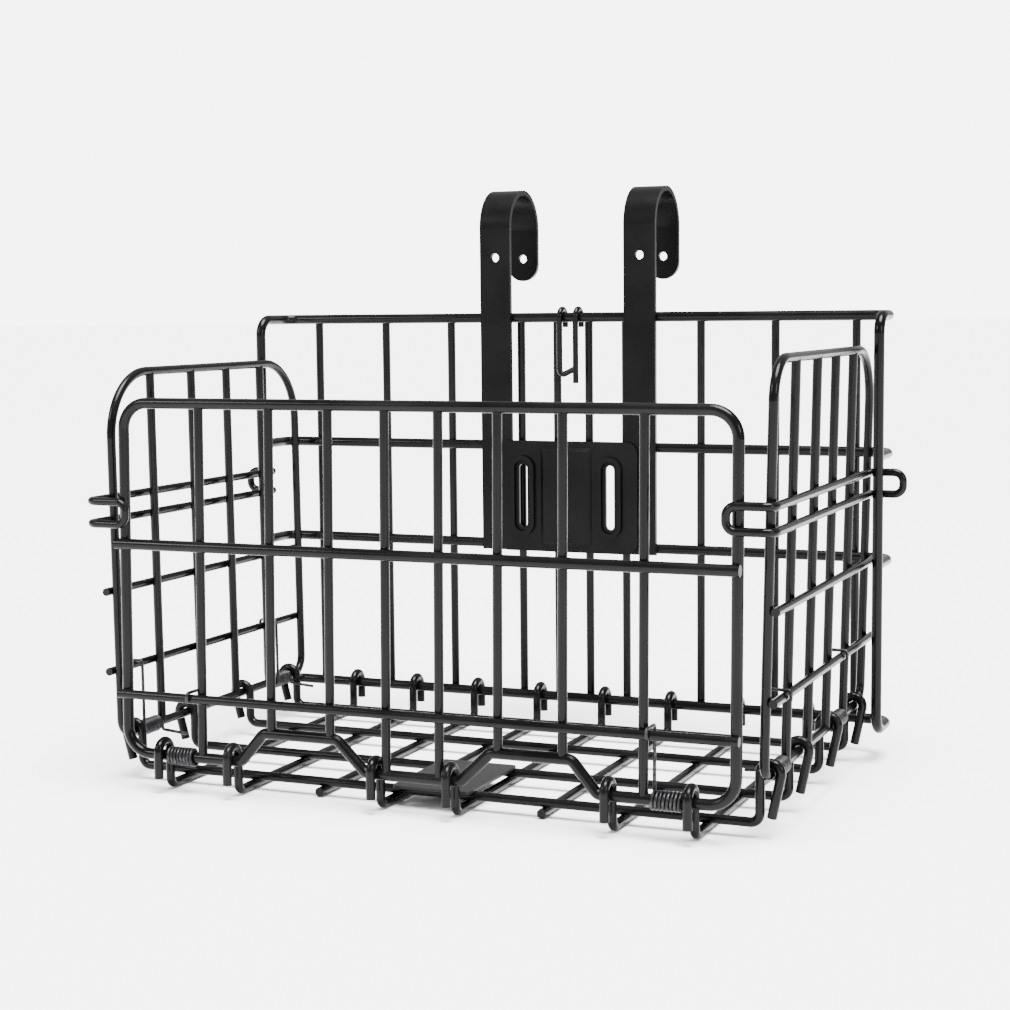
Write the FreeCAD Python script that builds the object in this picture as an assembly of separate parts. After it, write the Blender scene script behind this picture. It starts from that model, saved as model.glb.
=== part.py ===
import FreeCAD, Part
import math
import os

from FreeCAD import Vector

# Folding wire basket that hangs on a handlebar by two flat hooks.
# Millimetres, +Z up. x = 0 is the middle, y = 0 is the plane of the back frame with +Y
# towards the rider, and z = 0 is the plane the lengthwise base wires rest on.

os.makedirs("parts", exist_ok=True)

# ---- wire stock (radii) ----
R_FRAME = 3.0          # front and back frames and their heavy rails
R_WIRE = 2.5           # base wires, upright bars, side frames
R_ROD = 2.25           # horizontal rods and latch wires of the sides
R_CLIP = 1.75          # clip that holds the folded basket
R_SPRING = 0.9         # torsion springs
WELD = 0.1             # depth of a welded crossing
PLAY = 0.3             # running clearance in every hinge eye

# ---- shared frame ----
MIDDLE_Y = -98.15                        # middle of the overall depth, front eyes to hooks

# ---- base ----
LONG_X = [21.5, 64.5, 107.5, 150.5]      # lengthwise wires, mirrored in x
OPEN_END_X = 64.5                        # these wires end just past the first crosswise wire
OPEN_END_Y = -212.5
CROSS_Y = [-208.0, -153.0, -89.0, -30.0]
LONG_Z = R_WIRE
CROSS_Z = LONG_Z + 2 * R_WIRE - WELD
BASE_BEND = 5.0
EYE_FOOT_BEND = 3.5
TAG_SIZE = (45.0, 65.5, 1.5)
TAG_CORNER = (-19.0, -217.0)

# ---- back frame ----
BACK_HINGE_Z = 19.0
BACK_TOP_Z = 255.0
BACK_RAIL_Z = {"back_lower_rail": 114.4, "back_upper_rail": 176.0}
BACK_BAR_X = [10.4, 34.4, 82.2, 128.1, 176.4]
FLANGE_X = 198.0
FLANGE_Y = -33.0
FLANGE_BEND = 10.0

# ---- front frame ----
FRONT_Y = -230.0
FRONT_HINGE_Z = 20.0
FRONT_TOP_Z = 212.0
FRONT_HALF = 173.2
FRONT_CORNER = 14.0
FRONT_TILT = 1.2                         # degrees, the top leans into the basket
FRONT_MID_Z = 135.6
FRONT_LOW_Z = 53.0
FRONT_RAIL_HALF = 176.0
FRONT_BAR_X = [15.2, 48.0, 83.2, 125.9]
ARCH_FOOT_X = (27.0, 102.0)
ARCH_TOP_X = (44.0, 88.0)
ARCH_RISE = 16.5
FRONT_EYE_Z = 21.7                       # centre of the round top of the front eyes
LONG_EYE_TAIL_Z = 8.0
SIDE_TAIL_TURN = {"left": 15.0, "right": 12.0}       # degrees that the tails slant inwards
SIDE_TAIL_LENGTH = {"left": 16.0, "right": 22.0}

# ---- side frames ----
SIDE_X = 184.3
SIDE_Y = (-220.0, -13.5)
SIDE_BAR_Y = [-179.7, -136.4, -96.8, -56.8]
SIDE_ROD_Y = (-223.8, -10.4)
SIDE_HINGE_Z = {"left": 26.3, "right": 32.5}
SIDE_HEIGHT = {"left": 201.5, "right": 203.5}        # hinge wire to top wire
SIDE_LOW = {"left": 36.0, "right": 38.0}             # rod heights above the hinge wire
SIDE_MID = {"left": 80.7, "right": 82.7}
SIDE_SPLAY = {"left": 0.5, "right": 1.3}             # degrees outwards at rest
SIDE_TOP_CORNER = {"left": (36.0, 36.0), "right": (20.0, 30.0)}
SIDE_BOTTOM_CORNERS = (9.0, 11.0)        # front, rear

# ---- latch wires: hung on the flange posts, hooked before the front frame ----
LATCH_Z = {"left": (146.2, 158.5), "right": (154.5, 166.8)}
LATCH_HOOK_Y = -233.8
LATCH_TIP_X = 169.0
LATCH_LOOP_X = 211.0
LATCH_BEND = 5.0

# ---- springs: span along the hinge wire ----
FRONT_SPRING_X = (130.5, 146.5)
SIDE_SPRING_Y = {
    "left": {"front": (-203.0, -184.5), "rear": (-51.0, -35.5)},
    "right": {"front": (-203.0, -184.5), "rear": (-84.0, -62.0)},
}
SPRING_PITCH = 2.0

# ---- handlebar hooks, mounting plate, clip ----
STRAP_X = 47.0
STRAP_WIDTH = 20.0
STRAP_THICK = 3.0
STRAP_BOTTOM_Z = 111.0
HOOK_CENTRE_Z = 310.0
HOOK_RADIUS = 22.5                       # to the middle of the strap's thickness
HOOK_END_Z = 278.0
HOOK_HOLE_Z = 292.0
HOOK_HOLE_R = 2.7
PLATE_HALF = 46.0
PLATE_Z = (111.0, 179.5)
PLATE_THICK = 2.0
PLATE_CORNER = 7.0
PLATE_PAD_HALF = 16.5
PLATE_PAD_RISE = 2.4
SLOT_X = 28.5
SLOT_Z = (125.7, 165.1)
SLOT_R = 2.7
RIDGE_R = 7.6
RIDGE_WALL = 2.4
RIDGE_RISE = 2.2
CLIP_X = (-4.8, 5.6)
CLIP_TAIL_Z = 249.0
CLIP_CROSS_Z = (219.0, 224.0)
CLIP_TIP_Z = 215.0


def unit(vector):
    """The vector scaled to length one."""
    return vector * (1.0 / vector.Length)


def bent_wire(points, radius, bends, closed=False):
    """Round wire through the points, with a round bend at each corner.

    bends is one bend radius for all corners, or a list with one for each point.
    """
    points = [Vector(*p) for p in points]
    count = len(points)
    if not isinstance(bends, (list, tuple)):
        bends = [bends] * count
    enter = [Vector(p) for p in points]
    leave = [Vector(p) for p in points]
    pieces = []
    corners = range(count) if closed else range(1, count - 1)
    for i in corners:
        before = unit(points[i] - points[i - 1])
        after = unit(points[(i + 1) % count] - points[i])
        axis = unit(before.cross(after))
        turn = math.acos(max(-1.0, min(1.0, before.dot(after))))
        trim = bends[i] * math.tan(turn / 2)
        enter[i] = points[i] - before * trim
        leave[i] = points[i] + after * trim
        centre = enter[i] + axis.cross(before) * bends[i]
        disc = Part.Face(Part.Wire(Part.makeCircle(radius, enter[i], before)))
        pieces.append(disc.revolve(centre, axis, math.degrees(turn)))
    for i in range(count if closed else count - 1):
        start = leave[i]
        run = enter[(i + 1) % count] - start
        if run.Length > 0.001:
            pieces.append(Part.makeCylinder(radius, run.Length, start, run))
    if len(pieces) == 1:
        return pieces[0]
    return pieces[0].multiFuse(pieces[1:]).removeSplitter()


def straight(start, end, radius):
    """Straight round wire between two points."""
    return bent_wire([start, end], radius, 0)


def mirrored(values):
    """The values and their negatives, from lowest to highest."""
    return sorted([-v for v in values] + list(values))


def side_sign(side):
    """Direction of x for a side."""
    return -1 if side == "left" else 1


def group(solids):
    """One shape that keeps the solids separate."""
    flat = []
    for shape in solids:
        flat.extend(shape.Solids)
    return Part.makeCompound(flat)


def export(name, shape):
    """Write one node, moved so that the origin stands under the middle of the depth."""
    moved = shape.copy()
    moved.translate(Vector(0, -MIDDLE_Y, 0))
    moved.exportStep("parts/%s.step" % name)


# ---------------------------------------------------------------- base


def long_wire(x):
    """Lengthwise wire: eyes around the back and front hinge wires, or a plain front end."""
    half = R_FRAME + PLAY + R_WIRE
    back_top = BACK_HINGE_Z + half
    front_top = FRONT_EYE_Z + half
    if abs(x) == OPEN_END_X:
        front = [(x, OPEN_END_Y, LONG_Z)]
        front_bends = [0]
    else:
        front = [
            (x, FRONT_Y - half, LONG_EYE_TAIL_Z),
            (x, FRONT_Y - half, front_top),
            (x, FRONT_Y + half, front_top),
            (x, FRONT_Y + half, LONG_Z),
        ]
        front_bends = [0, half, half, EYE_FOOT_BEND]
    back = [
        (x, -half, LONG_Z),
        (x, -half, back_top),
        (x, half, back_top),
        (x, half, LONG_EYE_TAIL_Z),
    ]
    return bent_wire(front + back, R_WIRE, front_bends + [EYE_FOOT_BEND, half, half, 0])


def side_eye(side, y):
    """Corners and bends of an eye round a side's hinge wire, from its free tail inwards."""
    sign = side_sign(side)
    half = 2 * R_WIRE + PLAY
    hinge = SIDE_HINGE_Z[side]
    turn = math.radians(SIDE_TAIL_TURN[side])
    length = SIDE_TAIL_LENGTH[side]
    outer = sign * (SIDE_X + half)
    inner = sign * (SIDE_X - half)
    knee_z = hinge - half * math.tan(turn / 2)
    tail = (outer - sign * length * math.sin(turn), y, knee_z - length * math.cos(turn))
    corners = [
        tail,
        (outer, y, knee_z),
        (outer, y, hinge + half),
        (inner, y, hinge + half),
        (inner, y, CROSS_Z),
    ]
    return corners, [0, half, half, half, BASE_BEND]


def cross_wire(y):
    """Crosswise wire with an eye around each side's hinge wire."""
    left, left_bends = side_eye("left", y)
    right, right_bends = side_eye("right", y)
    return bent_wire(left + right[::-1], R_WIRE, left_bends + right_bends[::-1])


def tag_plate():
    """Blank plate that lies on the first two crosswise wires."""
    bottom = CROSS_Z + R_WIRE - WELD / 2
    plate = Part.makeBox(*TAG_SIZE, Vector(*TAG_CORNER, bottom))
    uprights = [e for e in plate.Edges if abs(e.tangentAt(e.FirstParameter).z) > 0.9]
    return plate.makeFillet(3.0, uprights)


# ---------------------------------------------------------------- back


def back_rim():
    """Closed frame: top wire, hinge wire, and both ends turned forwards into a flange."""
    corners = []
    bends = []
    for z, order in ((BACK_TOP_Z, (-1, 1)), (BACK_HINGE_Z, (1, -1))):
        first, last = order
        corners += [
            (first * FLANGE_X, FLANGE_Y, z),
            (first * FLANGE_X, 0, z),
            (last * FLANGE_X, 0, z),
            (last * FLANGE_X, FLANGE_Y, z),
        ]
        bends += [FLANGE_BEND] * 4
    return bent_wire(corners, R_FRAME, bends, closed=True)


def back_rail(z, rim):
    """Rail whose ends turn forwards and meet the flange."""
    points = [
        (-FLANGE_X, FLANGE_Y, z),
        (-FLANGE_X, 0, z),
        (FLANGE_X, 0, z),
        (FLANGE_X, FLANGE_Y, z),
    ]
    rail = bent_wire(points, R_FRAME, FLANGE_BEND).cut(rim)
    return max(rail.Solids, key=lambda s: s.Volume)


def back_bars():
    """Upright bars on the rider's side of the rails."""
    y = R_FRAME + R_WIRE - WELD
    low = BACK_HINGE_Z - 1.5
    high = BACK_TOP_Z + 1.5
    return [straight((x, y, low), (x, y, high), R_WIRE) for x in mirrored(BACK_BAR_X)]


# ---------------------------------------------------------------- hooks, plate, clip


def hook_strap(x):
    """Flat strap bent over into a hook, with a bolt hole through both legs."""
    inner = HOOK_RADIUS - STRAP_THICK / 2
    outer = HOOK_RADIUS + STRAP_THICK / 2
    front = -R_FRAME - STRAP_THICK
    centre_y = front + outer
    left = x - STRAP_WIDTH / 2

    def block(y, z, height):
        return Part.makeBox(STRAP_WIDTH, STRAP_THICK, height, Vector(left, y, z))

    strap = block(front, STRAP_BOTTOM_Z, HOOK_CENTRE_Z - STRAP_BOTTOM_Z)
    arm = block(centre_y + inner, HOOK_END_Z, HOOK_CENTRE_Z - HOOK_END_Z)
    centre = Vector(left, centre_y, HOOK_CENTRE_Z)
    along = Vector(1, 0, 0)
    crown = Part.makeCylinder(outer, STRAP_WIDTH, centre, along)
    crown = crown.cut(Part.makeCylinder(inner, STRAP_WIDTH, centre, along))
    below = Part.makeBox(STRAP_WIDTH, 2 * outer, outer, Vector(left, front, HOOK_CENTRE_Z - outer))
    hook = strap.multiFuse([arm, crown.cut(below)]).removeSplitter()

    # round the free end of the arm
    tip_r = STRAP_WIDTH / 2
    tip_box = Part.makeBox(STRAP_WIDTH, STRAP_THICK, tip_r, Vector(left, centre_y + inner, HOOK_END_Z))
    tip_disc = Part.makeCylinder(
        tip_r, STRAP_THICK, Vector(x, centre_y + inner, HOOK_END_Z + tip_r), Vector(0, 1, 0)
    )
    hook = hook.cut(tip_box.cut(tip_disc))

    hole = Part.makeCylinder(HOOK_HOLE_R, 2 * outer + 2, Vector(x, front - 1, HOOK_HOLE_Z), Vector(0, 1, 0))
    return hook.cut(hole)


def stadium(x, radius, z_low, z_high, y, depth):
    """Upright slot-shaped prism that is as wide as two radii."""
    along = Vector(0, 1, 0)
    low = Part.makeCylinder(radius, depth, Vector(x, y, z_low + radius), along)
    high = Part.makeCylinder(radius, depth, Vector(x, y, z_high - radius), along)
    height = z_high - z_low - 2 * radius
    middle = Part.makeBox(2 * radius, depth, height, Vector(x - radius, y, z_low + radius))
    return low.multiFuse([high, middle]).removeSplitter()


def mounting_plate():
    """Plate across both straps, with a raised middle and two ridged upright slots."""
    back = -R_FRAME - STRAP_THICK
    front = back - PLATE_THICK
    height = PLATE_Z[1] - PLATE_Z[0]
    plate = Part.makeBox(2 * PLATE_HALF, PLATE_THICK, height, Vector(-PLATE_HALF, front, PLATE_Z[0]))
    edges = [e for e in plate.Edges if abs(e.tangentAt(e.FirstParameter).y) > 0.9]
    plate = plate.makeFillet(PLATE_CORNER, edges)
    pad = Part.makeBox(
        2 * PLATE_PAD_HALF, PLATE_PAD_RISE, height - 8,
        Vector(-PLATE_PAD_HALF, front - PLATE_PAD_RISE, PLATE_Z[0] + 4),
    )
    pad = pad.makeChamfer(PLATE_PAD_RISE - 0.3, pad.Faces[2].Edges)
    added = [pad]
    margin = RIDGE_R - SLOT_R
    for x in (-SLOT_X, SLOT_X):
        low = SLOT_Z[0] - margin
        high = SLOT_Z[1] + margin
        ridge = stadium(x, RIDGE_R, low, high, front - RIDGE_RISE, RIDGE_RISE)
        pocket = stadium(
            x, RIDGE_R - RIDGE_WALL, low + RIDGE_WALL, high - RIDGE_WALL, front - RIDGE_RISE, RIDGE_RISE
        )
        added.append(ridge.cut(pocket))
    plate = plate.multiFuse(added).removeSplitter()
    for x in (-SLOT_X, SLOT_X):
        plate = plate.cut(stadium(x, SLOT_R, SLOT_Z[0], SLOT_Z[1], front - 8, PLATE_THICK + 16))
    return plate


def fold_clip():
    """Two wire legs that hang on the back frame's top wire, joined by a slanted piece."""
    reach = R_FRAME + PLAY + R_CLIP
    top = BACK_TOP_Z + reach
    left_x, right_x = CLIP_X
    left = [
        (left_x, reach, CLIP_TAIL_Z),
        (left_x, reach, top),
        (left_x, -reach, top),
        (left_x, -reach, CLIP_CROSS_Z[0]),
        (right_x, -reach, CLIP_CROSS_Z[1]),
    ]
    right = [
        (right_x, reach, CLIP_TAIL_Z),
        (right_x, reach, top),
        (right_x, -reach, top),
        (right_x, -reach, CLIP_TIP_Z),
    ]
    left_leg = bent_wire(left, R_CLIP, [0, reach, reach, 2.5, 0])
    right_leg = bent_wire(right, R_CLIP, [0, reach, reach, 0])
    return left_leg.fuse(right_leg).removeSplitter()


# ---------------------------------------------------------------- front


def leaned(shape):
    """Turn an upright front piece to its rest position."""
    turned = shape.copy()
    turned.rotate(Vector(0, FRONT_Y, FRONT_HINGE_Z), Vector(1, 0, 0), -FRONT_TILT)
    return turned


def front_rim():
    """Closed frame whose hinge wire rises in an arch at each side of the middle."""
    arch_z = FRONT_HINGE_Z + ARCH_RISE
    half_bottom = [
        (FRONT_HALF, FRONT_HINGE_Z),
        (ARCH_FOOT_X[1], FRONT_HINGE_Z),
        (ARCH_TOP_X[1], arch_z),
        (ARCH_TOP_X[0], arch_z),
        (ARCH_FOOT_X[0], FRONT_HINGE_Z),
    ]
    outline = [(-FRONT_HALF, FRONT_TOP_Z), (FRONT_HALF, FRONT_TOP_Z)]
    outline += half_bottom
    outline += [(-x, z) for x, z in reversed(half_bottom)]
    points = [(x, FRONT_Y, z) for x, z in outline]
    bends = [FRONT_CORNER if abs(x) == FRONT_HALF else 5.0 for x, z in outline]
    return bent_wire(points, R_FRAME, bends, closed=True)


def front_bars(rim):
    """Upright bars in the plane of the frame; those over an arch stop on it."""
    bars = []
    for x in mirrored(FRONT_BAR_X):
        over_arch = ARCH_TOP_X[0] < abs(x) < ARCH_TOP_X[1]
        low = FRONT_HINGE_Z + (ARCH_RISE if over_arch else 0)
        bar = straight((x, FRONT_Y, low), (x, FRONT_Y, FRONT_TOP_Z), R_WIRE).cut(rim)
        bars.append(max(bar.Solids, key=lambda s: s.Volume))
    return bars


def front_rail(z, radius, rim):
    """Rail across the outer face of the bars."""
    y = FRONT_Y - R_WIRE - radius + WELD
    rail = straight((-FRONT_RAIL_HALF, y, z), (FRONT_RAIL_HALF, y, z), radius).cut(rim)
    return max(rail.Solids, key=lambda s: s.Volume)


# ---------------------------------------------------------------- sides


def splayed(shape, side):
    """Turn an upright side piece to its rest position."""
    turned = shape.copy()
    hinge = Vector(side_sign(side) * SIDE_X, 0, SIDE_HINGE_Z[side])
    turned.rotate(hinge, Vector(0, 1, 0), side_sign(side) * SIDE_SPLAY[side])
    return turned


def side_rim(side):
    """Closed frame of one side; its lowest wire is the hinge wire."""
    x = side_sign(side) * SIDE_X
    low = SIDE_HINGE_Z[side]
    high = low + SIDE_HEIGHT[side]
    front_y, rear_y = SIDE_Y
    front_corner, rear_corner = SIDE_TOP_CORNER[side]
    front_foot, rear_foot = SIDE_BOTTOM_CORNERS
    points = [(x, front_y, low), (x, front_y, high), (x, rear_y, high), (x, rear_y, low)]
    bends = [front_foot, front_corner, rear_corner, rear_foot]
    return bent_wire(points, R_WIRE, bends, closed=True)


def side_bars(side, rim):
    """Upright bars of one side, in the plane of its frame."""
    x = side_sign(side) * SIDE_X
    low = SIDE_HINGE_Z[side]
    bars = []
    for y in SIDE_BAR_Y:
        bar = straight((x, y, low), (x, y, low + SIDE_HEIGHT[side]), R_WIRE).cut(rim)
        bars.append(max(bar.Solids, key=lambda s: s.Volume))
    return bars


def side_rod(side, height):
    """Horizontal rod on the outer face."""
    x = side_sign(side) * (SIDE_X + R_WIRE + R_ROD - WELD)
    z = SIDE_HINGE_Z[side] + height
    return straight((x, SIDE_ROD_Y[0], z), (x, SIDE_ROD_Y[1], z), R_ROD)


def latch_wire(side):
    """Closed wire bent round the flange post, with a hook before the front frame."""
    sign = side_sign(side)
    round_post = R_FRAME + PLAY + R_ROD
    x = sign * (FLANGE_X - round_post)
    behind = FLANGE_Y + round_post
    low, high = LATCH_Z[side]
    tip = sign * LATCH_TIP_X
    loop = sign * LATCH_LOOP_X
    points = [
        (x, LATCH_HOOK_Y, low),
        (tip, LATCH_HOOK_Y, low),
        (tip, LATCH_HOOK_Y, high),
        (x, LATCH_HOOK_Y, high),
        (x, behind, high),
        (loop, behind, high),
        (loop, behind, low),
        (x, behind, low),
    ]
    bends = [LATCH_BEND] * 4 + [round_post, LATCH_BEND, LATCH_BEND, round_post]
    return bent_wire(points, R_ROD, bends, closed=True)


# ---------------------------------------------------------------- springs


def rounded_path(points, bend):
    """Edges along the points, with a round bend at each corner."""
    points = [Vector(*p) for p in points]
    edges = []
    start = points[0]
    for i in range(1, len(points) - 1):
        before = unit(points[i] - points[i - 1])
        after = unit(points[i + 1] - points[i])
        half_turn = math.acos(max(-1.0, min(1.0, before.dot(after)))) / 2
        enter = points[i] - before * bend * math.tan(half_turn)
        leave = points[i] + after * bend * math.tan(half_turn)
        inwards = unit(after - before)
        middle = points[i] + inwards * (bend / math.cos(half_turn) - bend)
        edges.append(Part.makeLine(start, enter))
        edges.append(Part.Arc(enter, middle, leave).toShape())
        start = leave
    edges.append(Part.makeLine(start, points[-1]))
    return edges


def torsion_spring(length, rail_radius, rod_up, rod_out, rod_radius, inward):
    """Torsion spring in its own frame: coil axis along +Y from 0 to length, +X outwards.

    The first end rises inside the panel and hooks over a rod; the last end lies inwards.
    """
    mean = rail_radius + PLAY + R_SPRING
    end_y = round(length / SPRING_PITCH) * SPRING_PITCH
    helix = Part.makeHelix(SPRING_PITCH, end_y, mean, 0, True)
    helix.rotate(Vector(0, 0, 0), Vector(1, 0, 0), -90)
    helix.rotate(Vector(0, 0, 0), Vector(0, 1, 0), 180)
    slope = SPRING_PITCH / (2 * math.pi * mean)
    gap = rod_radius + R_SPRING + 0.2
    rise = 3.0
    rising = [
        (rod_out + gap, -rise * slope, rod_up - 1.5),
        (rod_out + gap, -rise * slope, rod_up + gap),
        (-mean, -rise * slope, rod_up + gap),
        (-mean, -rise * slope, rise),
        (-mean, 0, 0),
    ]
    foot = [
        (-mean, end_y, 0),
        (-mean, end_y + mean * slope, -mean),
        (-mean - inward, end_y + mean * slope, -mean - 1.5),
    ]
    path = Part.Wire(rounded_path(rising, 1.6) + helix.Edges + rounded_path(foot, 1.6))
    profile = Part.Wire(Part.makeCircle(R_SPRING, Vector(*rising[0]), Vector(0, 0, 1)))
    return Part.Solid(path.makePipeShell([profile], True, False).Shells[0])


def front_spring(sign):
    """Spring of the front frame at one side."""
    low, high = FRONT_SPRING_X
    out = R_WIRE + R_WIRE - WELD
    spring = torsion_spring(
        high - low, R_FRAME, FRONT_LOW_Z - FRONT_HINGE_Z, out, R_WIRE, 18.0
    )
    spring.rotate(Vector(0, 0, 0), Vector(0, 0, 1), -90)
    if sign < 0:
        spring = spring.mirror(Vector(0, 0, 0), Vector(1, 0, 0))
    spring.translate(Vector(sign * low, FRONT_Y, FRONT_HINGE_Z))
    return leaned(spring)


def side_spring(side, place):
    """Front or rear spring of one side."""
    low, high = SIDE_SPRING_Y[side][place]
    out = R_WIRE + R_ROD - WELD
    spring = torsion_spring(high - low, R_WIRE, SIDE_LOW[side], out, R_ROD, 16.0)
    if side == "left":
        spring = spring.mirror(Vector(0, 0, 0), Vector(1, 0, 0))
    spring.translate(Vector(side_sign(side) * SIDE_X, low, SIDE_HINGE_Z[side]))
    return splayed(spring, side)


# ---------------------------------------------------------------- export

export("base_long_wires", group([long_wire(x) for x in mirrored(LONG_X)]))
export("base_cross_wires", group([cross_wire(y) for y in CROSS_Y]))
export("base_tag_plate", tag_plate())

rim = back_rim()
export("back_rim", rim)
for name, z in BACK_RAIL_Z.items():
    export(name, back_rail(z, rim))
export("back_bars", group(back_bars()))
export("hook_strap_left", hook_strap(-STRAP_X))
export("hook_strap_right", hook_strap(STRAP_X))
export("mounting_plate", mounting_plate())
export("fold_clip", fold_clip())

rim = front_rim()
export("front_rim", leaned(rim))
export("front_bars", group([leaned(bar) for bar in front_bars(rim)]))
export("front_mid_rail", leaned(front_rail(FRONT_MID_Z, R_FRAME, rim)))
export("front_low_rail", leaned(front_rail(FRONT_LOW_Z, R_WIRE, rim)))
export("front_spring_left", front_spring(-1))
export("front_spring_right", front_spring(1))

for side in ("left", "right"):
    rim = side_rim(side)
    export(side + "_rim", splayed(rim, side))
    export(side + "_bars", group([splayed(bar, side) for bar in side_bars(side, rim)]))
    export(side + "_low_rod", splayed(side_rod(side, SIDE_LOW[side]), side))
    export(side + "_mid_rod", splayed(side_rod(side, SIDE_MID[side]), side))
    export(side + "_latch_wire", latch_wire(side))
    for place in ("front", "rear"):
        export("%s_spring_%s" % (side, place), side_spring(side, place))
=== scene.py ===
import math

import bpy
from mathutils import Matrix, Vector

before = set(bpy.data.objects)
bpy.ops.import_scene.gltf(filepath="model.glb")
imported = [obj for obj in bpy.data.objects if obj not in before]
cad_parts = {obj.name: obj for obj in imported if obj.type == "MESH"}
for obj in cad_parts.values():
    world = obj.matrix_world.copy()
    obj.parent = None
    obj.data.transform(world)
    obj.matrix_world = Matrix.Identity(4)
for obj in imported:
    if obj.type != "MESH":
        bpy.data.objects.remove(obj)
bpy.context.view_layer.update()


# ---------------------------------------------------------------- node helpers


class Graph:
    """Short way to add and wire shader nodes."""

    def __init__(self, name):
        self.material = bpy.data.materials.new(name)
        self.material.use_nodes = True
        self.tree = self.material.node_tree
        self.shader = self.tree.nodes["Principled BSDF"]
        self.coord = self.add("ShaderNodeTexCoord").outputs["Object"]

    def add(self, kind, **settings):
        node = self.tree.nodes.new(kind)
        for key, value in settings.items():
            if key in node.inputs:
                node.inputs[key].default_value = value
            else:
                setattr(node, key, value)
        return node

    def link(self, source, target):
        self.tree.links.new(source, target)

    def noise(self, scale, detail=3.0, roughness=0.5):
        node = self.add("ShaderNodeTexNoise", Scale=scale, Detail=detail, Roughness=roughness)
        self.link(self.coord, node.inputs["Vector"])
        return node.outputs["Fac"]

    def ramp(self, value, low, high, start=0.0, end=1.0):
        """Value between low and high mapped to start and end."""
        node = self.add("ShaderNodeMapRange")
        node.inputs["From Min"].default_value = low
        node.inputs["From Max"].default_value = high
        node.inputs["To Min"].default_value = start
        node.inputs["To Max"].default_value = end
        self.link(value, node.inputs["Value"])
        return node.outputs["Result"]

    def math(self, operation, a, b):
        node = self.add("ShaderNodeMath", operation=operation)
        for socket, value in zip(node.inputs, (a, b)):
            if isinstance(value, (int, float)):
                socket.default_value = value
            else:
                self.link(value, socket)
        return node.outputs[0]

    def mix(self, factor, a, b):
        node = self.add("ShaderNodeMix", data_type="RGBA")
        self.link(factor, node.inputs[0])
        for socket, value in ((node.inputs[6], a), (node.inputs[7], b)):
            if isinstance(value, tuple):
                socket.default_value = (*value, 1.0)
            else:
                self.link(value, socket)
        return node.outputs[2]

    def bump(self, height, strength, distance):
        node = self.add("ShaderNodeBump", Strength=strength, Distance=distance)
        self.link(height, node.inputs["Height"])
        self.link(node.outputs["Normal"], self.shader.inputs["Normal"])


CLOUD_SCALE = 22.0
SPOT_SCALE = 260.0
GRAIN_PER_PEEL = 3.2
PEEL_HEIGHT = 0.00012
STREAK_SCALE = 420.0
STREAK_HEIGHT = 0.00008


def coated_metal(name, base, worn, rough, peel_scale, coat, wear, shine):
    """Powder-coated steel: fine orange peel, cloudy tone and small rubbed spots."""
    g = Graph(name)
    peel = g.noise(peel_scale, 2.0, 0.55)
    grain = g.noise(peel_scale * GRAIN_PER_PEEL, 2.0, 0.6)
    cloud = g.noise(CLOUD_SCALE, 3.0, 0.6)
    spots = g.noise(SPOT_SCALE, 4.0, 0.7)
    dusty = tuple(min(1.0, c * 1.6 + 0.002) for c in base)
    tone = g.mix(g.ramp(cloud, 0.35, 0.7), base, dusty)
    rubbed = g.math("MULTIPLY", g.ramp(spots, 0.70, 0.76), g.ramp(cloud, 0.55, 0.68))
    rubbed = g.math("MULTIPLY", rubbed, wear)
    g.link(g.mix(rubbed, tone, worn), g.shader.inputs["Base Color"])
    smooth = g.ramp(cloud, 0.3, 0.75, rough - 0.05, rough + 0.09)
    g.link(g.math("ADD", smooth, g.math("MULTIPLY", rubbed, 0.2)), g.shader.inputs["Roughness"])
    g.link(g.math("MULTIPLY", rubbed, 0.6), g.shader.inputs["Metallic"])
    g.bump(g.math("ADD", peel, g.math("MULTIPLY", grain, 0.35)), 0.22, PEEL_HEIGHT)
    g.shader.inputs["Specular IOR Level"].default_value = shine
    g.shader.inputs["Coat Weight"].default_value = coat
    g.shader.inputs["Coat Roughness"].default_value = 0.12
    return g.material


def spring_steel():
    """Blackened spring wire with bare streaks."""
    g = Graph("spring_steel")
    streak = g.noise(STREAK_SCALE, 4.0, 0.65)
    cloud = g.noise(60.0, 2.0, 0.5)
    tone = g.mix(g.ramp(streak, 0.45, 0.7), (0.012, 0.012, 0.013), (0.05, 0.05, 0.052))
    g.link(tone, g.shader.inputs["Base Color"])
    g.link(g.ramp(cloud, 0.3, 0.7, 0.28, 0.42), g.shader.inputs["Roughness"])
    g.shader.inputs["Metallic"].default_value = 0.85
    g.bump(streak, 0.2, STREAK_HEIGHT)
    return g.material


WIRE = coated_metal(
    "gloss_black_powder_coat",
    base=(0.0010, 0.0010, 0.0012), worn=(0.06, 0.06, 0.063),
    rough=0.2, peel_scale=900.0, coat=0.02, wear=0.45, shine=0.10,
)
SHEET = coated_metal(
    "satin_black_powder_coat",
    base=(0.0010, 0.0010, 0.0012), worn=(0.05, 0.05, 0.053),
    rough=0.3, peel_scale=1100.0, coat=0.01, wear=0.5, shine=0.06,
)
TAG = coated_metal(
    "dark_grey_coat",
    base=(0.006, 0.006, 0.0064), worn=(0.08, 0.08, 0.08),
    rough=0.42, peel_scale=1000.0, coat=0.02, wear=0.7, shine=0.12,
)
SPRING = spring_steel()

SHEET_NODES = ("hook_strap_left", "hook_strap_right", "mounting_plate")


def material_for(node):
    """Coat of a node, by its name."""
    if "spring" in node:
        return SPRING
    if node == "base_tag_plate":
        return TAG
    return SHEET if node in SHEET_NODES else WIRE


for node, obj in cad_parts.items():
    for slot in obj.material_slots:
        slot.material = material_for(node)

# ---------------------------------------------------------------- floor, light, camera

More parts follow.
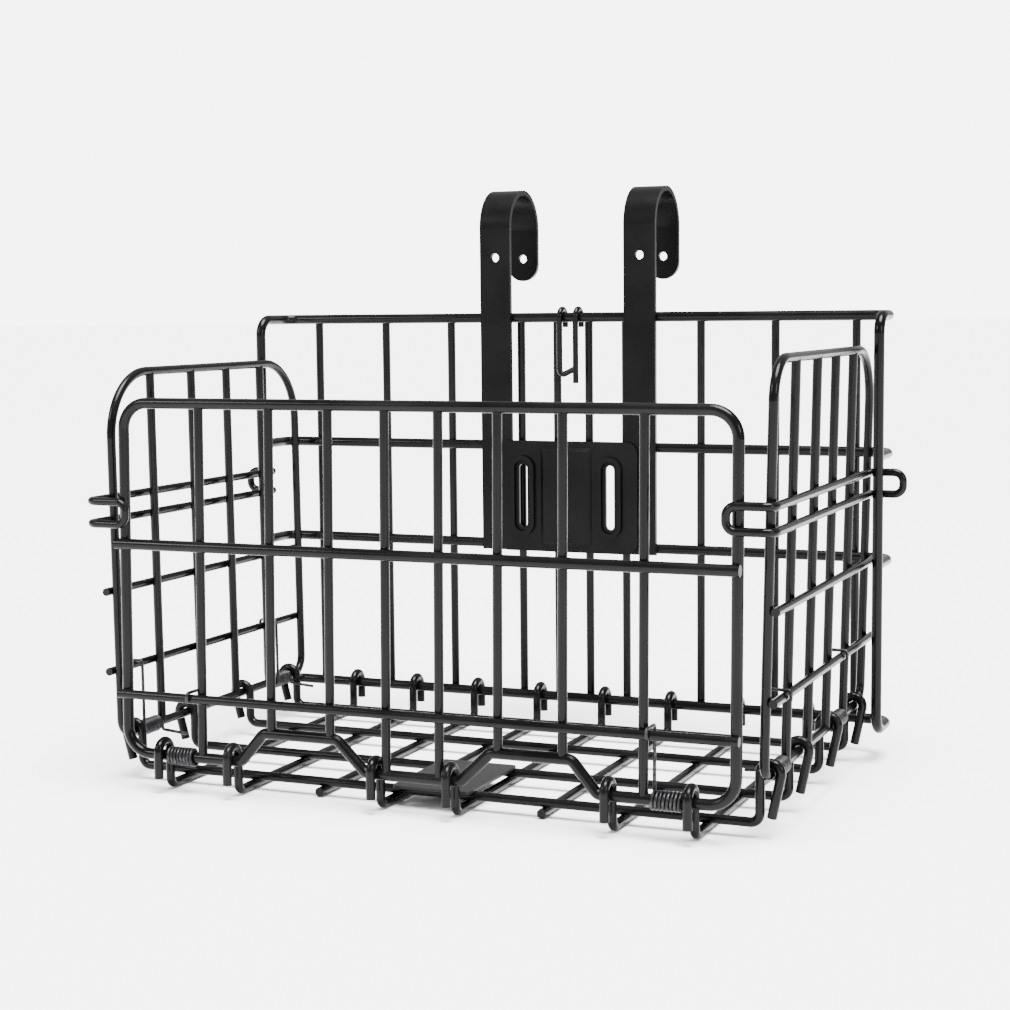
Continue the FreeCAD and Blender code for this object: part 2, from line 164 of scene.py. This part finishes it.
FLOOR_Z = -0.0005
FLOOR_SIZE = 60.0
bpy.ops.mesh.primitive_plane_add(size=FLOOR_SIZE, location=(0, 0, FLOOR_Z))
floor = bpy.context.object
floor.name = "floor"
ground = Graph("floor_white")
ground.link(
    ground.mix(ground.ramp(ground.noise(3.0), 0.3, 0.7), (0.93, 0.93, 0.93), (0.95, 0.95, 0.95)),
    ground.shader.inputs["Base Color"],
)
ground.shader.inputs["Roughness"].default_value = 0.9
ground.shader.inputs["Specular IOR Level"].default_value = 0.1
floor.data.materials.append(ground.material)

BACKDROP_STRENGTH = 6.5      # the white backdrop, as the camera sees it
ROOM_STRENGTH = 0.9          # the light that the same backdrop gives

world = bpy.data.worlds.new("studio")
bpy.context.scene.world = world
world.use_nodes = True
sky = world.node_tree
seen = sky.nodes.new("ShaderNodeLightPath").outputs["Is Camera Ray"]
strength = sky.nodes.new("ShaderNodeMapRange")
strength.inputs["To Min"].default_value = ROOM_STRENGTH
strength.inputs["To Max"].default_value = BACKDROP_STRENGTH
sky.links.new(seen, strength.inputs["Value"])
sky.links.new(strength.outputs["Result"], sky.nodes["Background"].inputs["Strength"])
sky.nodes["Background"].inputs["Color"].default_value = (1.0, 1.0, 1.0, 1.0)


def aimed(name, kind, place, target):
    """Lamp at a place, turned to face the target."""
    data = bpy.data.lights.new(name, kind)
    light = bpy.data.objects.new(name, data)
    bpy.context.scene.collection.objects.link(light)
    light.location = place
    light.rotation_euler = (Vector(target) - Vector(place)).to_track_quat("-Z", "Y").to_euler()
    return data


MIDDLE = (0.0, -0.02, 0.12)
ceiling = aimed("ceiling", "SUN", (0.5, -0.5, 3.0), MIDDLE)
ceiling.energy = 17.5
ceiling.angle = math.radians(40.0)      # wide, so its shadows are soft
for name, place, size, power in (
    ("key", (-1.3, -1.4, 1.2), 0.5, 22.0),
    ("fill", (1.6, -0.8, 0.8), 0.5, 14.0),
):
    soft = aimed(name, "AREA", place, MIDDLE)
    soft.size = size
    soft.energy = power

# viewing direction as turn left of +Y, tilt and roll; focal length and centre in picture widths
SENSOR_WIDTH = 36.0
CAMERA_PLACE = Vector((0.4370, -1.0333, 0.2620))
CAMERA_YAW = 0.4017
CAMERA_PITCH = -0.0999
CAMERA_ROLL = -0.0102
FOCAL_WIDTHS = 1.9510
CENTRE_X = 0.5010
CENTRE_Y = 0.4991

forward = Vector((
    -math.sin(CAMERA_YAW) * math.cos(CAMERA_PITCH),
    math.cos(CAMERA_YAW) * math.cos(CAMERA_PITCH),
    math.sin(CAMERA_PITCH),
))
level = Vector((math.cos(CAMERA_YAW), math.sin(CAMERA_YAW), 0.0))
upright = level.cross(forward)
right = math.cos(CAMERA_ROLL) * level + math.sin(CAMERA_ROLL) * upright
up = -math.sin(CAMERA_ROLL) * level + math.cos(CAMERA_ROLL) * upright

camera_data = bpy.data.cameras.new("camera")
camera_data.sensor_width = SENSOR_WIDTH
camera_data.lens = SENSOR_WIDTH * FOCAL_WIDTHS
camera_data.shift_x = 0.5 - CENTRE_X
camera_data.shift_y = CENTRE_Y - 0.5
camera_data.clip_start = 0.01
camera = bpy.data.objects.new("camera", camera_data)
bpy.context.scene.collection.objects.link(camera)
camera.matrix_world = Matrix((
    (right.x, up.x, -forward.x, CAMERA_PLACE.x),
    (right.y, up.y, -forward.y, CAMERA_PLACE.y),
    (right.z, up.z, -forward.z, CAMERA_PLACE.z),
    (0.0, 0.0, 0.0, 1.0),
))
bpy.context.scene.camera = camera
